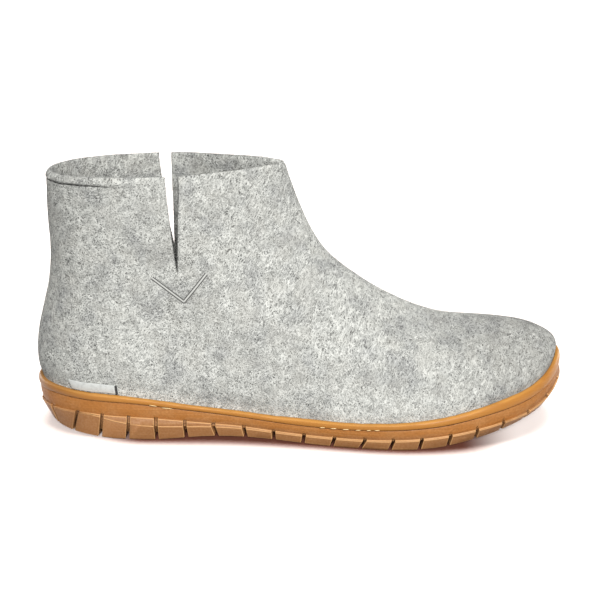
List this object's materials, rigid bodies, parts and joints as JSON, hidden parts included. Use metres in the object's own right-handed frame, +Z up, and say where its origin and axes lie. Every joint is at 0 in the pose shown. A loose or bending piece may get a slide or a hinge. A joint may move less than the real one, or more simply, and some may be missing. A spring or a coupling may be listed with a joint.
{
  "type": "wool boot",
  "caption": "Right ankle boot in thick wool felt, slit at both sides of the collar, on a moulded rubber sole with edge lugs and a rubber strip around its foot.",
  "frame": {"origin": "middle of the bottom of the bounding box, on the floor under the sole", "axes": "+X towards the toe, +Y towards the inner side of the foot, +Z up"},
  "size_m": [0.2908, 0.1108, 0.1466],
  "materials": {
    "rubber_tan": "satin natural rubber",
    "rubber_amber": "smooth satin rubber",
    "felt": "grey melange wool felt",
    "felt_insole": "pressed wool felt",
    "woven_tab": "fine woven tape"
  },
  "bodies": {
    "root": {"outsole": "rubber_tan", "foxing": "rubber_amber", "upper": "felt", "insole": "felt_insole", "label_tab": "woven_tab"}
  },
  "joints": []
}
